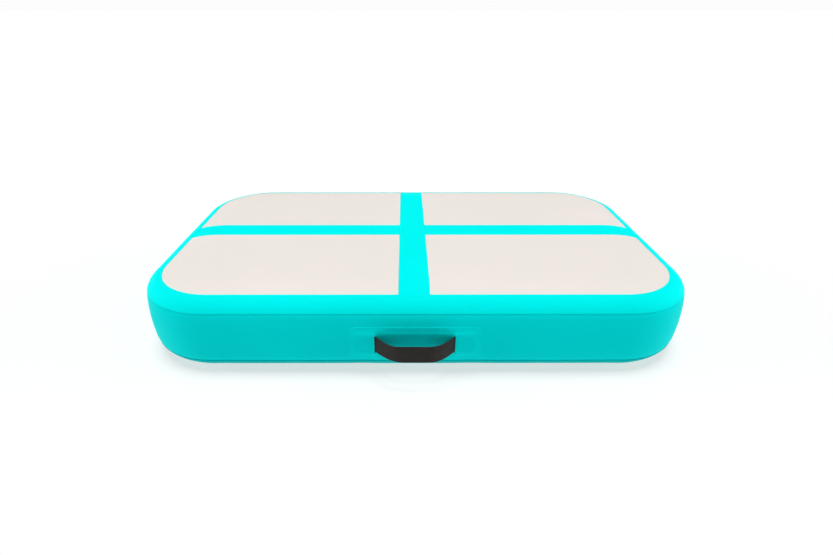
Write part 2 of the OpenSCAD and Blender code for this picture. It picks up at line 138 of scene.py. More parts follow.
def outline(u):
    """(x, y, normal x, normal y) of the widest outline, a distance u round it from the middle of
    the front."""
    u = np.mod(np.asarray(u, float) + REAR_MIDDLE, PERIMETER) - REAR_MIDDLE
    a, side = np.abs(u), np.where(u < 0, -1.0, 1.0)
    first_corner, second_corner = (a - FRONT_HALF) / CORNER, (a - RIGHT_STOP) / CORNER
    turn = np.clip(first_corner, 0, math.pi / 2) + np.clip(second_corner, 0, math.pi / 2)
    nx, ny = np.sin(turn), -np.cos(turn)
    x = np.minimum(np.minimum(a, FRONT_HALF), REAR_MIDDLE - a) + CORNER * nx
    y = np.clip(a - RIGHT_MIDDLE, -SIDE_HALF, SIDE_HALF) + CORNER * ny
    return side * x, y, side * nx, ny


# ---- the relief: how far the inflated skin bulges and puckers beyond the plain edge profile ----
# Its grid has columns round the mat, and rows along the edge profile up to a little past the roll
RELIEF_COLUMNS, RELIEF_ROWS = 368, 41
RELIEF_REACH = ROLL_ARC + 12 * MM
HELD_ROWS = (0, 1, RELIEF_ROWS - 2, RELIEF_ROWS - 1)
# The cloth that is blown up: its steps, its mass, how it resists, the air in it and its spare length
INFLATE_FRAMES, CLOTH_QUALITY, CLOTH_MASS = 18, 6, 0.3
CLOTH_STRETCH, CLOTH_BEND, CLOTH_PRESSURE, CLOTH_SPARE = 40, 4, 2.5, 0.012
# What goes round the mat in fewer waves than this is bulge, and the rest is gathers
SLOW_WAVES = 10
GATHER_SHARE, GATHER_LIMIT, BULGE = 0.10, 0.35 * MM, 0.5 * MM
# How far the relief keeps clear of the valve, and how it fades out towards the deck and underside
VALVE_CLEAR, EDGE_FADE = 50 * MM, 20 * MM
relief_grid = np.zeros((RELIEF_ROWS, RELIEF_COLUMNS))


def relief(u, v):
    """The relief at a point of the skin, read from the grid with straight-line blending."""
    column = np.mod(u, PERIMETER) / PERIMETER * RELIEF_COLUMNS
    row = np.clip((v / RELIEF_REACH + 1) / 2 * (RELIEF_ROWS - 1), 0, RELIEF_ROWS - 1.001)
    c0, r0 = np.floor(column).astype(int), np.floor(row).astype(int)
    fc, fr = column - c0, row - r0
    c0, c1 = c0 % RELIEF_COLUMNS, (c0 + 1) % RELIEF_COLUMNS
    low = relief_grid[r0, c0] * (1 - fc) + relief_grid[r0, c1] * fc
    high = relief_grid[r0 + 1, c0] * (1 - fc) + relief_grid[r0 + 1, c1] * fc
    return low * (1 - fr) + high * fr


def skin(u, v, offset):
    """Points of the inflated skin, lifted by an offset: u round the mat, v up the edge profile."""
    u, v, offset = np.broadcast_arrays(u, v, offset)
    x, y, nx, ny = outline(u)
    out, up, _ = profile(v, offset + relief(u, v))
    return np.stack([x + nx * out, y + ny * out, HALF_H + up], axis=-1)


def inflate():
    """Blows the wall and its rolled edges up as cloth, held along the flat deck and underside, and
    returns the relief that settles out of it."""
    u = np.arange(RELIEF_COLUMNS) * PERIMETER / RELIEF_COLUMNS
    v = np.linspace(-RELIEF_REACH, RELIEF_REACH, RELIEF_ROWS)
    uu, vv = np.meshgrid(u, v)
    rest = skin(uu, vv, 0.0)
    normal = (skin(uu, vv, MM) - rest) / MM
    cloth = finish_mesh("inflating_cloth", rest.reshape(-1, 3), [tube_faces(*uu.shape)])
    held = cloth.vertex_groups.new(name="held")
    ends = [row * RELIEF_COLUMNS + column for row in HELD_ROWS for column in range(RELIEF_COLUMNS)]
    held.add(ends, 1.0, "REPLACE")
    modifier = cloth.modifiers.new("cloth", "CLOTH")
    fabric = modifier.settings
    fabric.vertex_group_mass = "held"
    fabric.quality, fabric.mass = CLOTH_QUALITY, CLOTH_MASS
    fabric.tension_stiffness = fabric.compression_stiffness = fabric.shear_stiffness = CLOTH_STRETCH
    fabric.bending_stiffness = CLOTH_BEND
    fabric.use_pressure, fabric.uniform_pressure_force = True, CLOTH_PRESSURE
    fabric.shrink_min = -CLOTH_SPARE
    fabric.effector_weights.gravity = 0
    modifier.collision_settings.use_collision = False
    scene = bpy.context.scene
    for step in range(INFLATE_FRAMES):
        scene.frame_set(step + 1)
    shown = cloth.evaluated_get(bpy.context.evaluated_depsgraph_get())
    moved = np.zeros(len(shown.data.vertices) * 3, np.float32)
    shown.data.vertices.foreach_get("co", moved)
    swell = ((moved.reshape(rest.shape) - rest) * normal).sum(-1)
    bpy.data.objects.remove(cloth)
    scene.frame_set(1)
    return settle(swell, uu, vv)


def settle(swell, u, v):
    """Turns the swelling into shallow gathers on a slight bulge, and fades it out where the mat
    lies on the floor, where the deck is flat, and round the valve."""
    waves = np.fft.rfft(swell, axis=1)
    slow = np.exp(-(np.arange(waves.shape[1]) / SLOW_WAVES) ** 2)
    bulge = np.fft.irfft(waves * slow, swell.shape[1], axis=1)
    gathers = np.clip((swell - bulge) * GATHER_SHARE, -GATHER_LIMIT, GATHER_LIMIT) + GATHER_LIMIT
    bulge = np.clip(bulge / bulge.max(), 0, 1) * BULGE
    from_valve = np.hypot(u - RIGHT_MIDDLE, v) - VALVE_CLEAR
    rolled = (v_at_inset(BORDER) - np.abs(v)) / EDGE_FADE
    return (bulge + gathers) * np.clip(from_valve / VALVE_CLEAR, 0, 1) * np.clip(rolled, 0, 1)


# ---- mesh helpers ----

def add_object(name, data):
    """Puts a mesh, a camera or a light into the scene."""
    obj = bpy.data.objects.new(name, data)
    bpy.context.scene.collection.objects.link(obj)
    return obj


def finish_mesh(name, verts, groups, uvs=None):
    """A smooth-shaded mesh object from points and groups of faces, one array of corners for each
    group. uvs holds one (u, v) in metres for each corner, in the same order."""
    used, corners = np.unique(np.concatenate([g.ravel() for g in groups]), return_inverse=True)
    faces, start = [], 0
    for group in groups:
        faces += corners[start:start + group.size].reshape(group.shape).tolist()
        start += group.size
    mesh = bpy.data.meshes.new(name)
    mesh.from_pydata(np.asarray(verts, float)[used].tolist(), [], faces)
    if uvs is not None:
        layer = mesh.uv_layers.new(name="cloth")
        layer.data.foreach_set("uv", np.asarray(uvs, np.float32).ravel())
    mesh.polygons.foreach_set("use_smooth", [True] * len(mesh.polygons))
    mesh.set_sharp_from_angle(angle=SHARP_ANGLE)
    mesh.update()
    return add_object(name, mesh)


def shell(name, top, bottom, uv, wrap=False, holes=None):
    """A closed thin shell between two grids of points, rows by columns. wrap joins the last column
    to the first, and uv then has one more column than the grids. holes marks cells left open."""
    rows, cols = top.shape[:2]
    last = cols if wrap else cols - 1
    kept = np.ones((rows - 1, last), bool) if holes is None else ~holes
    edge = np.pad(kept, 1)
    if wrap:
        edge[1:-1, 0], edge[1:-1, -1] = kept[:, -1], kept[:, 0]
    here = edge[1:-1, 1:-1]
    low, high = (0, 0), (0, 1)
    far_low, far_high = (1, 0), (1, 1)
    sides = [
        (here, [low, high, far_high, far_low], (0, 0, 0, 0)),
        (here, [low, far_low, far_high, high], (1, 1, 1, 1)),
        (here & ~edge[:-2, 1:-1], [low, low, high, high], (0, 1, 1, 0)),
        (here & ~edge[2:, 1:-1], [far_low, far_high, far_high, far_low], (0, 0, 1, 1)),
        (here & ~edge[1:-1, :-2], [low, far_low, far_low, low], (0, 0, 1, 1)),
        (here & ~edge[1:-1, 2:], [high, high, far_high, far_high], (0, 1, 1, 0)),
    ]
    groups, uvs = [], []
    for cells, places, layers in sides:
        r, c = np.nonzero(cells)
        groups.append(np.stack([under * rows * cols + (r + dr) * cols + (c + dc) % cols
                                for (dr, dc), under in zip(places, layers)], axis=1))
        uvs.append(np.stack([uv[r + dr, c + dc] for dr, dc in places], axis=1))
    verts = np.concatenate([top.reshape(-1, 3), bottom.reshape(-1, 3)])
    return finish_mesh(name, verts, groups, np.concatenate(uvs).reshape(-1, 2))


def tube_faces(rows, cols):
    """The faces between rows of points, where the last point of each row joins on to the first."""
    r, c = (g.ravel() for g in np.meshgrid(np.arange(rows - 1), np.arange(cols), indexing="ij"))
    beside = (c + 1) % cols
    return np.stack([r * cols + c, r * cols + beside, (r + 1) * cols + beside, (r + 1) * cols + c], 1)


def sweep(name, rings):
    """A closed solid through a row of closed rings of points."""
    rows, cols = rings.shape[:2]
    first, last = np.arange(cols)[None, ::-1], np.arange(cols)[None, :] + (rows - 1) * cols
    return finish_mesh(name, rings.reshape(-1, 3), [tube_faces(rows, cols), first, last])


def edge_drop(distance):
    """How far a rounded edge falls below the surface at a distance from the edge."""
    near = np.clip(EDGE_ROUND - distance, 0, EDGE_ROUND)
    return EDGE_ROUND - np.sqrt(np.maximum(EDGE_ROUND ** 2 - near ** 2, 0))


def spaced(low, high, step, fine_low=True, fine_high=True):
    """Positions from low to high, with extra ones close to the ends that have a rounded edge."""
    start = low + EDGE_ROWS if fine_low else np.array([low])
    stop = (high - EDGE_ROWS)[::-1] if fine_high else np.array([high])
    count = max(2, int(round((stop[0] - start[-1]) / step)) + 1)
    middle = np.linspace(start[-1], stop[0], count)[1:-1]
    return np.concatenate([start, middle, stop])


def ring_piece(name, v_low, v_high, inner, outer, hole=0.0):
    """A band of skin all the way round the mat, between two heights on the edge profile. hole is the
    radius of the round hole for the valve, in the middle of the right end."""
    columns = int(round(PERIMETER / STEP))
    rows = spaced(v_low, v_high, ROW_STEP)
    u, v = np.meshgrid(np.arange(columns + 1) * PERIMETER / columns, rows)
    du = u - RIGHT_MIDDLE
    reach = np.maximum(np.hypot(du, v), 1e-6)
    inside = reach < hole
    u = np.where(inside, RIGHT_MIDDLE + du * hole / reach, u)
    v = np.where(inside, v * hole / reach, v)
    drop = edge_drop(np.minimum(rows - v_low, v_high - rows))[:, None]
    top = skin(u[:, :-1], v[:, :-1], outer - drop)
    bottom = skin(u[:, :-1], v[:, :-1], inner)
    gone = inside[:-1, :-1] & inside[1:, :-1] & inside[:-1, 1:] & inside[1:, 1:]
    return shell(name, top, bottom, np.stack([u, v], -1), wrap=True, holes=gone)


def rounded(a, b, half_a, half_b, radius):
    """Maps a rectangle's grid onto a rounded rectangle, with smooth rows through the corners."""
    ca, cb = half_a - radius, half_b - radius
    p, q = (np.abs(a) - ca) / radius, (np.abs(b) - cb) / radius
    corner = (p > 0) & (q > 0)
    p, q = np.clip(p, 0, 1), np.clip(q, 0, 1)
    x = np.where(corner, np.sign(a) * (ca + radius * p * np.sqrt(1 - q * q / 2)), a)
    y = np.where(corner, np.sign(b) * (cb + radius * q * np.sqrt(1 - p * p / 2)), b)
    return x, y


def on_face(x, y, offset, side=1):
    """Points of the deck (side 1) or the underside (side -1) above a plan position."""
    dx, dy = np.abs(x) - FRONT_HALF, np.abs(y) - SIDE_HALF
    corner, end, long = (dx > 0) & (dy > 0), (dx > 0) & (dy <= 0), (dx <= 0) & (dy > 0)
    reach = np.hypot(np.maximum(dx, 0), np.maximum(dy, 0))
    inset = CORNER - reach
    safe = np.maximum(reach, 1e-9)
    nx = np.where(corner, np.sign(x) * dx / safe, np.where(end, np.sign(x), 0.0))
    ny = np.where(corner, np.sign(y) * dy / safe, np.where(long, np.sign(y), 0.0))
    v = side * v_at_inset(inset)
    angle = np.arctan2(np.abs(nx), -ny)
    round_corner = np.where(y < 0, FRONT_HALF + CORNER * angle,
                            RIGHT_STOP + CORNER * (angle - math.pi / 2))
    on_end = RIGHT_MIDDLE + y
    on_long = np.where(y < 0, np.abs(x), REAR_MIDDLE - np.abs(x))
    u = np.where(x < 0, -1, 1) * np.where(corner, round_corner, np.where(end, on_end, on_long))
    lift = offset + np.where(inset < FLAT_INSET, relief(u, v), 0.0)
    _, up, tilt = profile(v, lift)
    return np.stack([x + nx * np.cos(tilt) * lift, y + ny * np.cos(tilt) * lift, HALF_H + up], -1)


def face_piece(name, x_low, x_high, y_low, y_high, side=1):
    """A piece of the deck or the underside. Its edges under the seam tape are square, and the others
    are rounded over."""
    open_x = (x_low > -DECK_HALF_X, x_high < DECK_HALF_X)
    open_y = (y_low > -DECK_HALF_Y, y_high < DECK_HALF_Y)
    aa, bb = np.meshgrid(spaced(x_low, x_high, STEP, *open_x), spaced(y_low, y_high, STEP, *open_y))
    x, y = rounded(aa, bb, DECK_HALF_X, DECK_HALF_Y, DECK_CORNER)
    distances = [aa - x_low, x_high - aa, bb - y_low, y_high - bb]
    joined = [d for d, is_open in zip(distances, open_x + open_y) if is_open]
    edge = np.minimum.reduce(joined) if joined else np.full_like(aa, STEP)
    top, bottom = on_face(x, y, -edge_drop(edge), side), on_face(x, y, -SHEET, side)
    if side < 0:
        top, bottom, x, y = (np.flip(g, 0) for g in (top, bottom, x, y))
    return shell(name, top, bottom, np.stack([x, y], -1))


def lines(low, high, step, cuts=()):
    """Positions from low to high with one on each cut, and extra ones close to the two ends."""
    marks = [low, *sorted(cuts), high]
    parts = [spaced(m, n, step, m == low, n == high)[:-1] for m, n in zip(marks, marks[1:])]
    return np.append(np.concatenate(parts), high)


def one_layer(x, y):
    """The outer face of a single sheet that lies on the wall."""
    return np.full_like(x, SHEET)


def wall_patch(name, u_middle, v_middle, half_u, half_v, radius, height=one_layer, cuts=((), ()),
               gap=None, step=PATCH_STEP):
    """A rounded patch of one sheet on the wall. height(x, y) is its outer face's offset from the
    wall, at a place measured from its middle. gap(x, y) says which cells are left open."""
    a, b = lines(-half_u, half_u, step, cuts[0]), lines(-half_v, half_v, step, cuts[1])
    aa, bb = np.meshgrid(a, b)
    x, y = rounded(aa, bb, half_u, half_v, radius)
    dx, dy = np.abs(x) - (half_u - radius), np.abs(y) - (half_v - radius)
    edge = np.where((dx > 0) & (dy > 0), radius - np.hypot(dx, dy),
                    np.minimum(half_u - np.abs(x), half_v - np.abs(y)))
    lift = height(x, y)
    top = skin(u_middle + x, v_middle + y, lift - edge_drop(np.maximum(edge, 0)))
    bottom = skin(u_middle + x, v_middle + y, lift - SHEET)
    holes = gap((a[1:] + a[:-1])[None, :] / 2, (b[1:] + b[:-1])[:, None] / 2) if gap else None
    return shell(name, top, bottom, np.stack([u_middle + x, v_middle + y], -1), holes=holes)


# ---- materials ----
# The widths of a thread in the coated cloth, and of a warp, a rib and a column in the webbing
VINYL_THREAD = 1.15 * MM
WARP_WIDTH, RIB_WIDTH, COLUMN_WIDTH = 0.78 * MM, 1.9 * MM, 3.1 * MM


class Nodes:
    """A short way to write a node material."""

    def __init__(self, name):
        self.material = bpy.data.materials.new(name)
        self.material.use_nodes = True
        self.tree = self.material.node_tree
        self.shader = self.tree.nodes["Principled BSDF"]

    def add(self, kind, inputs=None, **settings):
        """Adds a node, with values or links for its inputs."""
        node = self.tree.nodes.new(kind)
        for key, value in settings.items():
            setattr(node, key, value)
        for key, value in (inputs or {}).items():
            self.put(node.inputs[key], value)
        return node

    def put(self, socket, value):
        """Links an output to an input, or sets the input's value."""
        if isinstance(value, bpy.types.NodeSocket):
            self.tree.links.new(value, socket)
        else:
            socket.default_value = value

    def place(self):
        """The position on the object, in metres."""
        return self.add("ShaderNodeTexCoord").outputs["Object"]

    def thread(self):
        """The two distances along the cloth, in metres."""
        cloth = self.add("ShaderNodeUVMap", uv_map="cloth").outputs["UV"]
        return self.add("ShaderNodeSeparateXYZ", {0: cloth}).outputs

    def math(self, operation, a, b=0.0):
        return self.add("ShaderNodeMath", {0: a, 1: b}, operation=operation).outputs[0]

    def remap(self, value, low, high, to_low, to_high):
        node = self.add("ShaderNodeMapRange", {"Value": value, "From Min": low, "From Max": high,
                                               "To Min": to_low, "To Max": to_high})
        return node.outputs["Result"]

    def noise(self, vector, scale, detail=3.0, roughness=0.5):
        node = self.add("ShaderNodeTexNoise", {"Vector": vector, "Scale": scale, "Detail": detail,
                                               "Roughness": roughness})
        return node.outputs["Fac"]

    def mix(self, share, a, b):
        node = self.add("ShaderNodeMix", {0: share, 6: a, 7: b}, data_type="RGBA")
        return node.outputs[2]

    def bump(self, height, strength, distance, under=None):
        inputs = {"Height": height, "Strength": strength, "Distance": distance}
        if under is not None:
            inputs["Normal"] = under
        return self.add("ShaderNodeBump", inputs).outputs["Normal"]


def linear(red, green, blue):
    """A colour given as 0 to 255 on screen, as linear light."""
    def one(c):
        c /= 255
        return c / 12.92 if c <= 0.04045 else ((c + 0.055) / 1.055) ** 2.4
    return (one(red), one(green), one(blue), 1.0)


def shaded(colour, share):
    """A colour made darker or lighter by a share."""
    return tuple(c * share for c in colour[:3]) + (1.0,)


def vinyl(name, colour, roughness, gloss, warm=None):
    """PVC-coated cloth: a colour with a faint mottle, towards warm if given, the coated weave, and
    light scuffing."""
    m = Nodes(name)
    place, thread = m.place(), m.thread()
    waves = 2 * math.pi / VINYL_THREAD
    across = m.math("SINE", m.math("MULTIPLY", thread[0], waves))
    along = m.math("SINE", m.math("MULTIPLY", thread[1], waves))
    weave = m.math("MULTIPLY", across, along)
    mottle = m.noise(place, 5.5, 4.0, 0.55)
    pale = warm or shaded(colour, 1.02)
    cloudy = m.mix(m.remap(mottle, 0.3, 0.7, 0.0, 1.0), shaded(colour, 0.975), pale)
    fine = m.noise(place, 900.0, 2.0, 0.6)
    base = m.mix(m.remap(fine, 0.35, 0.65, 0.0, 0.05), cloudy, shaded(colour, 0.8))
    m.put(m.shader.inputs["Base Color"], base)
    scuff = m.noise(place, 34.0, 6.0, 0.65)
    m.put(m.shader.inputs["Roughness"], m.remap(scuff, 0.35, 0.7, roughness - 0.05, roughness + 0.07))
    m.shader.inputs["Specular IOR Level"].default_value = gloss
    m.shader.inputs["Specular Tint"].default_value = colour
    ripple = m.bump(m.noise(place, 60.0, 2.0, 0.5), 0.05, 0.4 * MM)
    m.put(m.shader.inputs["Normal"], m.bump(weave, 0.2, 0.12 * MM, ripple))
    return m.material


def webbing_cloth(name):
    """Black polypropylene webbing: a herringbone weave with soft sheen and a dusty bloom."""
    m = Nodes(name)
    place, thread = m.place(), m.thread()
    column = m.math("PINGPONG", m.math("DIVIDE", thread[1], COLUMN_WIDTH), 1.0)
    slant = m.math("ADD", m.math("DIVIDE", thread[0], RIB_WIDTH), m.math("MULTIPLY", column, 1.4))
    rib = m.math("SINE", m.math("MULTIPLY", slant, 2 * math.pi))
    warp = m.math("SINE", m.math("MULTIPLY", thread[1], 2 * math.pi / WARP_WIDTH))
    weave = m.math("ADD", m.math("MULTIPLY", rib, 0.7), m.math("MULTIPLY", warp, 0.3))
    shade = m.remap(weave, -1.0, 1.0, 0.0, 1.0)
    worn = m.noise(place, 70.0, 5.0, 0.6)
    black = m.mix(shade, linear(18, 16, 15), linear(46, 40, 38))
    bloom = m.remap(worn, 0.45, 0.75, 0.0, 0.3)
    m.put(m.shader.inputs["Base Color"], m.mix(bloom, black, linear(56, 50, 47)))
    m.shader.inputs["Roughness"].default_value = 0.78
    m.shader.inputs["Specular IOR Level"].default_value = 0.3
    m.shader.inputs["Sheen Weight"].default_value = 0.08
    fuzz = m.bump(m.noise(place, 1400.0, 2.0, 0.6), 0.2, 0.1 * MM)
    m.put(m.shader.inputs["Normal"], m.bump(weave, 0.55, 0.3 * MM, fuzz))
    return m.material


def moulded(name, colour, roughness):
    """Moulded plastic with a fine spark texture and a little wear in the gloss."""
    m = Nodes(name)
    place = m.place()
    cloud = m.remap(m.noise(place, 40.0, 3.0, 0.5), 0.3, 0.7, 0.0, 1.0)
    m.put(m.shader.inputs["Base Color"], m.mix(cloud, shaded(colour, 0.94), shaded(colour, 1.05)))
    wear = m.noise(place, 220.0, 4.0, 0.6)
    m.put(m.shader.inputs["Roughness"], m.remap(wear, 0.3, 0.7, roughness - 0.06, roughness + 0.1))
    m.put(m.shader.inputs["Normal"], m.bump(m.noise(place, 1600.0, 2.0, 0.6), 0.12, 0.1 * MM))
    return m.material


def rubber(name):
    """Black rubber with a faint bloom."""
    m = Nodes(name)
    place = m.place()
    bloom = m.noise(place, 120.0)
    m.put(m.shader.inputs["Base Color"], m.mix(bloom, linear(30, 30, 31), linear(44, 44, 45)))
    m.shader.inputs["Roughness"].default_value = 0.7
    m.put(m.shader.inputs["Normal"], m.bump(m.noise(place, 1100.0), 0.15, 0.1 * MM))
    return m.material


def steel(name):
    """Drawn spring wire."""
    m = Nodes(name)
    place = m.place()
    drawn = m.noise(place, 300.0)
    m.put(m.shader.inputs["Base Color"], m.mix(drawn, linear(170, 172, 176), linear(205, 206, 208)))
    m.shader.inputs["Metallic"].default_value = 1.0
    m.put(m.shader.inputs["Roughness"], m.remap(m.noise(place, 800.0), 0.3, 0.7, 0.22, 0.36))
    return m.material


def yarn(name, colour, pitch, gloss=0.5, sheen=0.2):
    """Loose polyester yarn or bare base cloth: fine threads along the height, matt and fuzzy."""
    m = Nodes(name)
    place = m.place()
    tall = m.add("ShaderNodeMapping", {"Vector": place, "Scale": (1.0, 1.0, 0.06)}).outputs[0]
    threads = m.noise(tall, 1.0 / pitch, 3.0, 0.6)
    m.put(m.shader.inputs["Base Color"], m.mix(threads, shaded(colour, 0.8), shaded(colour, 1.05)))
    m.shader.inputs["Roughness"].default_value = 0.85
    m.shader.inputs["Specular IOR Level"].default_value = gloss
    m.shader.inputs["Sheen Weight"].default_value = sheen
    m.put(m.shader.inputs["Normal"], m.bump(threads, 0.4, 0.2 * MM))
    return m.material


deck_vinyl = vinyl("deck_vinyl", linear(229, 224, 217), 0.55, 0.3, linear(231, 223, 218))
band_vinyl = vinyl("band_vinyl", linear(1, 236, 233), 0.5, 0.01)
# The wall is the same vinyl as the band, painted a little darker: painted shade for the dimmer light on
# the wall.
wall_vinyl = vinyl("wall_vinyl", linear(1, 225, 224), 0.5, 0.01)
# The lower seam tape and the underside sheet are painted a darker cyan than the wall: painted shade for
# the dim lower edge of the mat.
lower_vinyl_painted_shade = vinyl("lower_vinyl_painted_shade", linear(1, 192, 190), 0.5, 0.01)
webbing_black = webbing_cloth("webbing")
thread_cyan = yarn("thread", linear(2, 218, 216), 0.3 * MM, 0.05, 0.0)
valve_plastic = moulded("valve_plastic", linear(148, 152, 154), 0.42)
valve_rubber = rubber("valve_rubber")
spring_steel = steel("spring_steel")
bare_cloth = yarn("inner_cloth", linear(222, 226, 226), 0.9 * MM)
drop_yarn = yarn("yarn", linear(240, 240, 236), 0.5 * MM)


def dress(piece, material, node=None, body="mat"):
    """Gives a piece its material, the node it stands for, and the body it rides on."""
    piece.data.materials.clear()
    piece.data.materials.append(material)
    if node:
        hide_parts(node)
    if body:
        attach(piece, body)
    return piece


# ---- the skins ----
TAPE_DECK_V, TAPE_WALL_V = float(v_at_inset(BORDER)), v_at_height(TAPE_HEIGHT)
STRAP_CORNER = 3 * MM


def make_deck():
    """The four panels and three stripes of the deck, and the sheet under the mat."""
    left, right, half = STRIPE_LOW.x, STRIPE_HIGH.x, STRIPE_HALF
    half_x, half_y = DECK_HALF_X, DECK_HALF_Y
    pieces = {
        "deck_panel_front_left": (-half_x, left, -half_y, -half),
        "deck_panel_front_right": (right, half_x, -half_y, -half),
        "deck_panel_rear_left": (-half_x, left, half, half_y),
        "deck_panel_rear_right": (right, half_x, half, half_y),
        "crosswise_stripe": (left, right, -half_y, half_y),
        "lengthwise_stripe_left": (-half_x, left, -half, half),
        "lengthwise_stripe_right": (right, half_x, -half, half),
    }
    for node, span in pieces.items():
        panel = "panel" in node
        piece = face_piece("skin_" + node, *span)
        material, slot = (deck_vinyl, "deck_vinyl") if panel else (band_vinyl, "band_vinyl")
        dress(piece, material, node)
    under = face_piece("skin_underside_sheet", -half_x, half_x, -half_y, half_y, side=-1)
    dress(under, lower_vinyl_painted_shade, "underside_sheet")


def make_walls():
    """The side wall, the two seam tapes, and the strap over the join in the side wall."""
    reach = float(v_at_inset(BORDER - TAPE_OVERLAP))
    wall = ring_piece("skin_sidewall", -reach, reach, -SHEET, 0.0, BARREL_HOLE)
    dress(wall, wall_vinyl, "sidewall_outer_strip")
    upper = ring_piece("skin_upper_seam_tape", TAPE_WALL_V, TAPE_DECK_V, 0.0, SHEET)
    dress(upper, band_vinyl, "upper_seam_tape")
    lower = ring_piece("skin_lower_seam_tape", -TAPE_DECK_V, -TAPE_WALL_V, 0.0, SHEET)
    dress(lower, lower_vinyl_painted_shade, "lower_seam_tape")
    low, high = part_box("sidewall_joint_strap")
    v_low, v_high = v_at_height(low.z - HALF_H), v_at_height(high.z - HALF_H)
    half_u, half_v = (high.x - low.x) / 2, (v_high - v_low) / 2
    strap = wall_patch("skin_sidewall_joint_strap", REAR_MIDDLE - (low.x + high.x) / 2,
                       (v_low + v_high) / 2, half_u, half_v, STRAP_CORNER)
    dress(strap, wall_vinyl, "sidewall_joint_strap")


# ---- the handles: a place on one is (x, y), along and up the wall from the handle's middle ----
ENDS_LOW, ENDS_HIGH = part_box("front_handle_ends")
LOOP_LOW, LOOP_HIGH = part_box("front_handle_loop")
COVER_LOW, COVER_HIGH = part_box("front_handle_cover_patch")
TAIL = 34 * MM
SLIT = (ENDS_HIGH.x - ENDS_LOW.x) / 2 - TAIL
HANDLE_X = (LOOP_LOW.x + LOOP_HIGH.x) / 2
HANDLE_V = v_at_height((LOOP_LOW.z + LOOP_HIGH.z) / 2 - HALF_H)
HANDLE_U = {"front": HANDLE_X, "rear": REAR_MIDDLE - HANDLE_X}
WEB_HALF = (LOOP_HIGH.z - LOOP_LOW.z) / 2
WEB_THICK, TAIL_THICK = 2 * MM, 1.2 * MM
STANDOFF = -HALF_Y - LOOP_LOW.y
COVER_HALF_U, COVER_CORNER = (COVER_HIGH.x - COVER_LOW.x) / 2, 14 * MM
COVER_HALF_V = (v_at_height(COVER_HIGH.z - HALF_H) - v_at_height(COVER_LOW.z - HALF_H)) / 2
BASE_INSET = 8 * MM
MOUTH, MOUTH_HALF = 2.5 * MM, WEB_HALF + 0.8 * MM
STITCH_MIDDLE, STITCH_HALF_U, STITCH_HALF_V = SLIT + TAIL / 2, 13 * MM, 11.5 * MM
STITCH_PITCH, STITCH_LENGTH, STITCH_RADIUS, STITCH_LIFT = 3 * MM, 2.1 * MM, 0.42 * MM, 0.1 * MM
# The cover over a tail: how it rises at the slit, beyond the tail's end and beside it, and its swell
MOUTH_RISE, END_CLEAR, END_RISE, FLANK_RISE = 3.2 * MM, 11 * MM, 12 * MM, 14 * MM
ROOF_GAP, ROOF_SWELL, SWELL_REACH = 0.1 * MM, 0.8 * MM, 9 * MM
# The cover elsewhere: the spacing of its points, its rise over the base patch, the dip of its seams,
# and the puckers by the slits
COVER_STEP, BASE_RISE_X, BASE_RISE_Y = 1.3 * MM, 18 * MM, 5 * MM
SEAM_DIP, SEAM_WIDTH, SEAM_START = 0.12 * MM, 1 * MM, 3 * MM
PUCKER_BACK, PUCKER_REACH, PUCKER_SIDE, PUCKER_WIDTH = 5 * MM, 12 * MM, 26 * MM, 5 * MM
PUCKER_ABOVE, PUCKER_BELOW = 0.7 * MM, 0.3 * MM
# The loop's rise from a slit: its length and sharpness on the left and the right, how much less they
# are on the left for the upper edge, and its soft start
RISE_LEFT, RISE_RIGHT, RISE_LESS = 50 * MM, 44 * MM, 12 * MM
SHARP_LEFT, SHARP_RIGHT, SHARP_LESS, SOFT_START = 2.0, 1.9, 0.4, 0.05
# The webbing's points, its thinned edges, its ribs, and where it thickens beyond a slit
WEB_STEP, WEB_ROWS, WEB_RIM, RIM_THINNING = 1.2 * MM, 81, 0.06, 0.96
RIB_DEPTH, RIBS, THICKEN_CLEAR, THICKEN_RISE = 0.08 * MM, 20, 3 * MM, 12 * MM


def ramp(value, width):
    """Rises smoothly from 0 to 1 as value goes from 0 to width."""
    t = np.clip(value / width, 0, 1)
    return t * t * (3 - 2 * t)


def hump(value, width):
    """A smooth hump that is 1 where value is 0, and a fiftieth of that at twice its width."""
    return np.exp(-(value / width) ** 2)


def cover_height(x, y):
    """The cover patch lies on the base patch, rises gently over the webbing's two ends and puckers
    where the slits pull on it."""
    inside_x, inside_y = COVER_HALF_U - BASE_INSET - np.abs(x), COVER_HALF_V - BASE_INSET - np.abs(y)
    past = np.abs(x) - SLIT
    flank = ramp(MOUTH_HALF + FLANK_RISE - np.abs(y), FLANK_RISE)
    pocket = flank * ramp(past + MOUTH_RISE, MOUTH_RISE) * ramp(TAIL + END_CLEAR - past, END_RISE)
    roof = TAIL_THICK + ROOF_GAP + ROOF_SWELL * hump(past, SWELL_REACH)
    seam = np.abs(np.maximum(np.abs(np.abs(x) - STITCH_MIDDLE) - STITCH_HALF_U,
                             np.abs(y) - STITCH_HALF_V))
    sewn = SEAM_DIP * hump(seam, SEAM_WIDTH) * ramp(past, SEAM_START)
    above = PUCKER_ABOVE * hump(y - PUCKER_SIDE, PUCKER_WIDTH)
    below = PUCKER_BELOW * hump(y + PUCKER_SIDE, PUCKER_WIDTH)
    pull = hump(past + PUCKER_BACK, PUCKER_REACH) * (above + below)
    base = SHEET * ramp(inside_x, BASE_RISE_X) * ramp(inside_y, BASE_RISE_Y)
    return SHEET + base + pocket * roof - sewn + pull


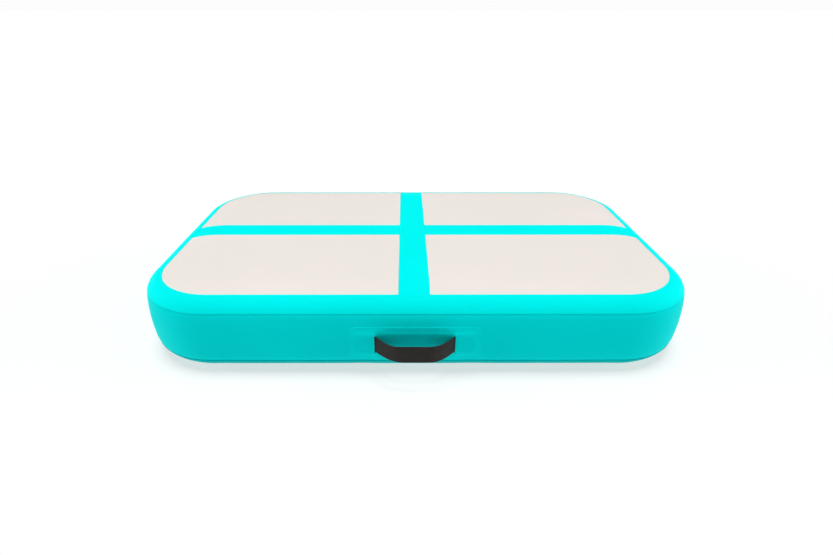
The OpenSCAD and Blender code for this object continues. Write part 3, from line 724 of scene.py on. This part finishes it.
def make_cover(end):
    """The base patch and the cover patch of one handle."""
    def slit(x, y):
        past = np.abs(x) - SLIT
        return (past < 0) & (past > -MOUTH) & (np.abs(y) < MOUTH_HALF)

    cuts = ([-SLIT, -SLIT + MOUTH, SLIT - MOUTH, SLIT], [-MOUTH_HALF, MOUTH_HALF])
    base = wall_patch(f"skin_{end}_handle_base", HANDLE_U[end], HANDLE_V, COVER_HALF_U - BASE_INSET,
                      COVER_HALF_V - BASE_INSET, COVER_CORNER - BASE_INSET)
    dress(base, wall_vinyl, f"{end}_handle_base_patch")
    cover = wall_patch(f"skin_{end}_handle_cover", HANDLE_U[end], HANDLE_V, COVER_HALF_U, COVER_HALF_V,
                       COVER_CORNER, cover_height, cuts, slit, COVER_STEP)
    dress(cover, wall_vinyl, f"{end}_handle_cover_patch")


def make_webbing(end):
    """One strip of webbing: its ends lie under the cover patch, and its two edges rise out of the
    slits at slightly different rates to the flat middle of the loop."""
    x, share = np.meshgrid(np.arange(-SLIT - TAIL, SLIT + TAIL, WEB_STEP), np.linspace(-1, 1, WEB_ROWS))
    left, up = x < 0, (share + 1) / 2
    start = np.clip((SLIT - np.abs(x)) / np.where(left, RISE_LEFT - RISE_LESS * up, RISE_RIGHT), 0, 1)
    start = start ** 2 * (1 + SOFT_START) / (start + SOFT_START)
    ease = 1 - (1 - start) ** np.where(left, SHARP_LEFT - SHARP_LESS * up, SHARP_RIGHT)
    y = share * WEB_HALF
    u, v = HANDLE_U[end] + x, HANDLE_V + y
    wall_out, wall_up, _ = profile(v, 0.0)
    thicker = ramp(SLIT + THICKEN_CLEAR - np.abs(x), THICKEN_RISE)
    thick = TAIL_THICK + (WEB_THICK - TAIL_THICK) * thicker
    tail = wall_out + relief(u, v) + SHEET + thick / 2
    out = tail + (STANDOFF - WEB_THICK / 2 - tail) * ease
    base_x, base_y, nx, ny = outline(u)
    middle = np.stack([base_x + nx * out, base_y + ny * out, HALF_H + wall_up], -1)
    along, across = np.gradient(middle, axis=1), np.gradient(middle, axis=0)
    normal = np.cross(along, across)
    normal /= np.linalg.norm(normal, axis=-1, keepdims=True)
    rim = np.clip((np.abs(share) - 1 + WEB_RIM) / WEB_RIM, 0, 1)
    ribs = RIB_DEPTH * (1 - np.cos(share * RIBS * math.pi))
    half = thick / 2 * np.sqrt(1 - RIM_THINNING * rim ** 2) - ribs
    length = np.cumsum(np.linalg.norm(along, axis=-1), axis=1)
    strap = shell(f"webbing_{end}_handle", middle + normal * half[..., None],
                  middle - normal * half[..., None], np.stack([length, y], -1))
    dress(strap, webbing_black, body=None)
    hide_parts(f"{end}_handle_loop", f"{end}_handle_ends")
    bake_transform(strap)


def make_stitching(end):
    """Two rectangles of stitches, each stitch a short rounded length of thread."""
    across, up = int(2 * STITCH_HALF_U / STITCH_PITCH), int(2 * STITCH_HALF_V / STITCH_PITCH)
    places = [(i * STITCH_PITCH, row * STITCH_HALF_V, True)
              for i in np.arange(-across / 2, across / 2 + 1) for row in (-1, 1)]
    places += [(row * STITCH_HALF_U, i * STITCH_PITCH, False)
               for i in np.arange(1 - up / 2, up / 2) for row in (-1, 1)]
    bead = bmesh.new()
    bmesh.ops.create_cube(bead, size=1)
    bmesh.ops.subdivide_edges(bead, edges=bead.edges, cuts=2, use_grid_fill=True)
    ball = np.array([v.co.normalized() for v in bead.verts])
    bead.verts.index_update()
    corners = np.array([[v.index for v in f.verts] for f in bead.faces])
    bead.free()
    verts, faces = [], []
    for side in (-1, 1):
        for place_x, place_y, flat in places:
            long, wide = ball[:, 0] * STITCH_LENGTH / 2, ball[:, 1] * STITCH_RADIUS
            x = side * STITCH_MIDDLE + place_x + (long if flat else -wide)
            y = place_y + (wide if flat else long)
            lift = cover_height(x, y) + STITCH_LIFT + ball[:, 2] * STITCH_RADIUS
            faces.append(corners + len(verts) * len(ball))
            verts.append(skin(HANDLE_U[end] + x, HANDLE_V + y, lift))
    stitches = finish_mesh(f"stitches_{end}_handle", np.concatenate(verts), faces)
    dress(stitches, thread_cyan, f"{end}_handle_stitching")


# ---- the valve ----
VALVE_PATCH_SIDES, VALVE_PATCH_STEP, VALVE_EDGE = 96, 3 * MM, 0.25 * MM


def make_valve_patch():
    """The round patch on the side wall, round the valve."""
    low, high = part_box("valve_patch")
    radius = (high.y - low.y) / 2
    turns = np.linspace(0, 2 * math.pi, VALVE_PATCH_SIDES + 1)
    turn, reach = np.meshgrid(turns, spaced(BARREL_HOLE, radius, VALVE_PATCH_STEP))
    u, v = RIGHT_MIDDLE + reach * np.cos(turn), -reach * np.sin(turn)
    drop = edge_drop(np.minimum(reach - BARREL_HOLE, radius - reach))
    patch = shell("skin_valve_patch", skin(u, v, SHEET - drop)[:, :-1], skin(u, v, 0.0)[:, :-1],
                  np.stack([u, v], -1), wrap=True)
    dress(patch, wall_vinyl, "valve_patch")


def make_spring():
    """The coil spring, with its end turns closed, that the pin's head presses down."""
    low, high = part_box("valve_spring")
    wire, turns, per_turn, sides = 0.5 * MM, 5.5, 28, 10
    coil = (high.y - low.y) / 2 - wire
    turn = np.linspace(0, turns, int(turns * per_turn) + 1)
    climb = np.clip((turn - 0.5) / (turns - 1), 0, 1)
    angle = turn * 2 * math.pi
    centre = np.stack([low.x + wire + climb * (high.x - low.x - 2 * wire), coil * np.cos(angle),
                       HALF_H + coil * np.sin(angle)], -1)
    out = np.stack([0 * angle, np.cos(angle), np.sin(angle)], -1)
    ring = np.linspace(0, 2 * math.pi, sides, endpoint=False)
    rings = centre[:, None] + wire * (np.cos(ring)[None, :, None] * out[:, None]
                                      + np.sin(ring)[None, :, None] * np.array([1.0, 0, 0]))
    spring = sweep("valve_spring_coil", rings)
    dress(spring, spring_steel, "valve_spring", None)
    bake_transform(spring)


def make_cap_strap():
    """The thin web that ties the cap to its ring, bent double beside them."""
    low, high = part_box("valve_cap_strap")
    thick, ring_lap, cap_lap = 1.4 * MM, 0.6 * MM, 0.4 * MM
    waist, squareness, roundness = 0.25, 0.35, 0.8
    half_width = (high.z - low.z) / 2
    bend = (high.x - low.x - thick) / 2
    bend_x, bend_y = (low.x + high.x) / 2, high.y - thick / 2 - bend
    ring_y, tab_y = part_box("valve_cap_ring")[1].y - ring_lap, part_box("valve_cap")[1].y - cap_lap
    turn = np.linspace(-math.pi / 2, math.pi / 2, 15)
    lead, tail = np.linspace(ring_y, bend_y, 4)[:-1], np.linspace(bend_y, tab_y, 3)[1:]
    x = np.concatenate([0 * lead + bend_x - bend, bend_x + bend * np.sin(turn), 0 * tail + bend_x + bend])
    y = np.concatenate([lead, bend_y + bend * np.cos(turn), tail])
    path = np.stack([x, y], -1)
    ahead = np.gradient(path, axis=0)
    ahead /= np.linalg.norm(ahead, axis=-1, keepdims=True)
    half = thick / 2 * (1 - waist * hump(y - high.y, bend))
    angle = np.linspace(0, 2 * math.pi, 20, endpoint=False)
    flat = np.sign(np.cos(angle)) * np.abs(np.cos(angle)) ** squareness
    round_side = np.sign(np.sin(angle)) * np.abs(np.sin(angle)) ** roundness
    rings = np.zeros((len(x), len(angle), 3))
    rings[..., 0] = x[:, None] + ahead[:, 1:2] * half[:, None] * round_side
    rings[..., 1] = y[:, None] - ahead[:, :1] * half[:, None] * round_side
    rings[..., 2] = HALF_H + half_width * flat
    strap = sweep("valve_cap_strap_web", rings)
    dress(strap, valve_plastic, "valve_cap_strap", None)
    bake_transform(strap)


def dress_cad_nodes():
    """Materials for the CAD nodes that are shown as they are, with softened edges on the valve."""
    cloth = ("top_face_cloth", "bottom_face_cloth", "sidewall_inner_strip")
    plastic = ("valve_body", "valve_nut", "valve_stem", "valve_poppet", "valve_cap_ring", "valve_cap")
    soft = ("valve_gasket", "valve_seal", "valve_cap_seal")
    finishes = {"drop_stitch_yarns": drop_yarn, **dict.fromkeys(cloth, bare_cloth),
                **dict.fromkeys(plastic, valve_plastic), **dict.fromkeys(soft, valve_rubber)}
    for node, material in finishes.items():
        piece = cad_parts[node]
        piece.data.materials.clear()
        piece.data.materials.append(material)
        if node in plastic:
            weld = piece.modifiers.new("weld", "WELD")
            weld.merge_threshold = 0.01 * MM
            bevel = piece.modifiers.new("bevel", "BEVEL")
            bevel.width, bevel.segments = VALVE_EDGE, 2
            bevel.limit_method, bevel.angle_limit = "ANGLE", math.radians(35)
            bevel.harden_normals = True


relief_grid = inflate()
make_deck()
make_walls()
for handle_end in ("front", "rear"):
    make_cover(handle_end)
    make_webbing(handle_end)
    make_stitching(handle_end)
make_valve_patch()
make_spring()
make_cap_strap()
dress_cad_nodes()


# ---- camera, floor and lights ----
CAMERA_PLACE = (-0.0198, -1.0061, 0.5689)
CAMERA_YAW, CAMERA_PITCH = math.radians(0.063), math.radians(28)
SENSOR_WIDTH, LENS, LENS_SHIFT = 36, 21.86, 0.0133
FLOOR_REACH, FLOOR_TOP, FLOOR_GLOW = 200, -0.2 * MM, 0.61
STUDIO_LIGHT, STUDIO_SEEN = 0.10, 0.98
# For each lamp: its radiance, its spread, its tilt from straight overhead, the side that it comes
# from, clockwise from the front, in degrees, and whether it shows in reflections
LAMPS = {
    "overhead": (0.845, 30, 0, 0, True),
    "front": (0.09, 60, 70, 0, False),
    "left": (0.82, 40, 87, 95, False),
    "right": (0.88, 40, 87, -95, False),
}


def make_camera():
    """The photo's camera, in front of the mat and looking down on it."""
    data = bpy.data.cameras.new("camera")
    data.sensor_width, data.lens, data.shift_x = SENSOR_WIDTH, LENS, LENS_SHIFT
    data.clip_start, data.clip_end = 0.01, 1000
    camera = add_object("camera", data)
    camera.location = CAMERA_PLACE
    level = math.cos(CAMERA_PITCH)
    ahead = Vector((math.sin(CAMERA_YAW) * level, math.cos(CAMERA_YAW) * level, -math.sin(CAMERA_PITCH)))
    camera.rotation_euler = ahead.to_track_quat("-Z", "Y").to_euler()
    bpy.context.scene.camera = camera


def make_floor():
    """A pale, faintly glowing table, just under the mat and clear from below."""
    sides = ((-1, -1), (1, -1), (1, 1), (-1, 1))
    corners = [(x * FLOOR_REACH, y * FLOOR_REACH, FLOOR_TOP) for x, y in sides]
    floor = finish_mesh("floor", corners, [np.array([[0, 1, 2, 3]])])
    m = Nodes("floor")
    mottle = m.noise(m.place(), 3.0)
    m.put(m.shader.inputs["Base Color"], m.mix(mottle, (0.34, 0.34, 0.34, 1), (0.36, 0.36, 0.36, 1)))
    m.shader.inputs["Roughness"].default_value = 0.9
    m.shader.inputs["Specular IOR Level"].default_value = 0.1
    m.shader.inputs["Emission Color"].default_value = (1, 1, 1, 1)
    m.shader.inputs["Emission Strength"].default_value = FLOOR_GLOW
    below = m.add("ShaderNodeNewGeometry").outputs["Backfacing"]
    clear = m.add("ShaderNodeBsdfTransparent").outputs[0]
    both = m.add("ShaderNodeMixShader", {0: below, 1: m.shader.outputs[0], 2: clear}).outputs[0]
    m.put(m.tree.nodes["Material Output"].inputs["Surface"], both)
    floor.data.materials.append(m.material)


def sun_lamp(name, radiance, spread, tilt, heading, gloss):
    """A soft distant light."""
    data = bpy.data.lights.new(name, "SUN")
    data.energy, data.angle = radiance * math.pi, math.radians(spread)
    light = add_object(name, data)
    light.visible_glossy = gloss
    t, h = math.radians(tilt), math.radians(heading)
    towards = Vector((-math.sin(h) * math.sin(t), -math.cos(h) * math.sin(t), math.cos(t)))
    light.rotation_euler = towards.to_track_quat("Z", "Y").to_euler()


def make_lights():
    """A white studio that is bright to look at and dim as a light, and the lamps."""
    world = bpy.data.worlds.new("studio")
    world.use_nodes = True
    tree = world.node_tree
    seen = tree.nodes.new("ShaderNodeLightPath").outputs["Is Camera Ray"]
    strength = tree.nodes.new("ShaderNodeMapRange")
    strength.inputs["To Min"].default_value = STUDIO_LIGHT
    strength.inputs["To Max"].default_value = STUDIO_SEEN
    tree.links.new(seen, strength.inputs["Value"])
    background = tree.nodes["Background"]
    background.inputs["Color"].default_value = (1, 1, 1, 1)
    tree.links.new(strength.outputs["Result"], background.inputs["Strength"])
    bpy.context.scene.world = world
    for name, settings in LAMPS.items():
        sun_lamp(name, *settings)


make_camera()
make_floor()
make_lights()
bpy.context.scene.view_settings.view_transform = "Standard"
